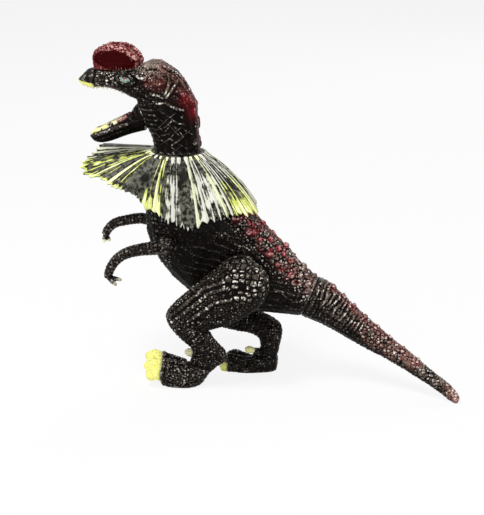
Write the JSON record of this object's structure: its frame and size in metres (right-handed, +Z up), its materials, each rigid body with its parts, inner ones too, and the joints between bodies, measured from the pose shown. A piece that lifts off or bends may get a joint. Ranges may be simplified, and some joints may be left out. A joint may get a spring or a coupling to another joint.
{
  "type": "toy dinosaur figure",
  "caption": "Striding crested meat-eating dinosaur figure with a pleated neck ruff, a hinged jaw and a turning head, tail, legs and arms.",
  "frame": {"origin": "on the ground, under the middle of the figure's box", "axes": "+Z up, -X towards the snout, +X towards the tail, -Y to the figure's left side"},
  "size_m": [0.1938, 0.0672, 0.1685],
  "materials": {
    "black_pvc": "moulded PVC, satin, dry-brushed",
    "crest_pvc": "moulded PVC, dark red paint",
    "ruff_pvc": "moulded PVC, black with yellow-green dry-brushed ribs",
    "tongue_pvc": "moulded PVC, red-brown paint",
    "pivot_plastic": "moulded acetal, unpainted",
    "pin_steel": "drawn wire"
  },
  "bodies": {
    "torso": {"torso_left_shell": "black_pvc", "torso_right_shell": "black_pvc", "neck_ruff": "ruff_pvc"},
    "head": {"head_left_half": "black_pvc", "head_right_half": "black_pvc", "crest_left": "crest_pvc", "crest_right": "crest_pvc", "jaw_pin": "pin_steel", "neck_pivot": "pivot_plastic"},
    "jaw": {"lower_jaw": "black_pvc", "tongue": "tongue_pvc"},
    "tail": {"tail": "black_pvc", "tail_pivot": "pivot_plastic"},
    "left_leg": {"leg_left": "black_pvc", "hip_pivot_left": "pivot_plastic"},
    "right_leg": {"leg_right": "black_pvc", "hip_pivot_right": "pivot_plastic"},
    "left_arm": {"arm_left": "black_pvc", "shoulder_pivot_left": "pivot_plastic"},
    "right_arm": {"arm_right": "black_pvc", "shoulder_pivot_right": "pivot_plastic"}
  },
  "joints": [
    {"name": "neck_turn", "type": "hinge", "parent": "torso", "child": "head", "pos_m": [-0.04466, -0.00401, 0.115], "axis": [0, 0, 1], "range_deg": [-30, 30]},
    {"name": "jaw_hinge", "type": "hinge", "parent": "head", "child": "jaw", "pos_m": [-0.06009, -0.00401, 0.137], "axis": [0, 1, 0], "range_deg": [0, 42]},
    {"name": "tail_turn", "type": "hinge", "parent": "torso", "child": "tail", "pos_m": [0.02122, -0.00401, 0.04446], "axis": [0.9234, 0, -0.3839], "range_deg": [-25, 25]},
    {"name": "left_hip", "type": "hinge", "parent": "torso", "child": "left_leg", "pos_m": [-0.01091, -0.01701, 0.0545], "axis": [0, 1, 0], "range_deg": [-30, 25]},
    {"name": "right_hip", "type": "hinge", "parent": "torso", "child": "right_leg", "pos_m": [-0.01091, 0.00899, 0.0545], "axis": [0, 1, 0], "range_deg": [-20, 30]},
    {"name": "left_shoulder", "type": "hinge", "parent": "torso", "child": "left_arm", "pos_m": [-0.04891, -0.01601, 0.07253], "axis": [0, 1, 0], "range_deg": [-50, 30]},
    {"name": "right_shoulder", "type": "hinge", "parent": "torso", "child": "right_arm", "pos_m": [-0.04891, 0.00799, 0.07253], "axis": [0, 1, 0], "range_deg": [-60, 20]}
  ]
}
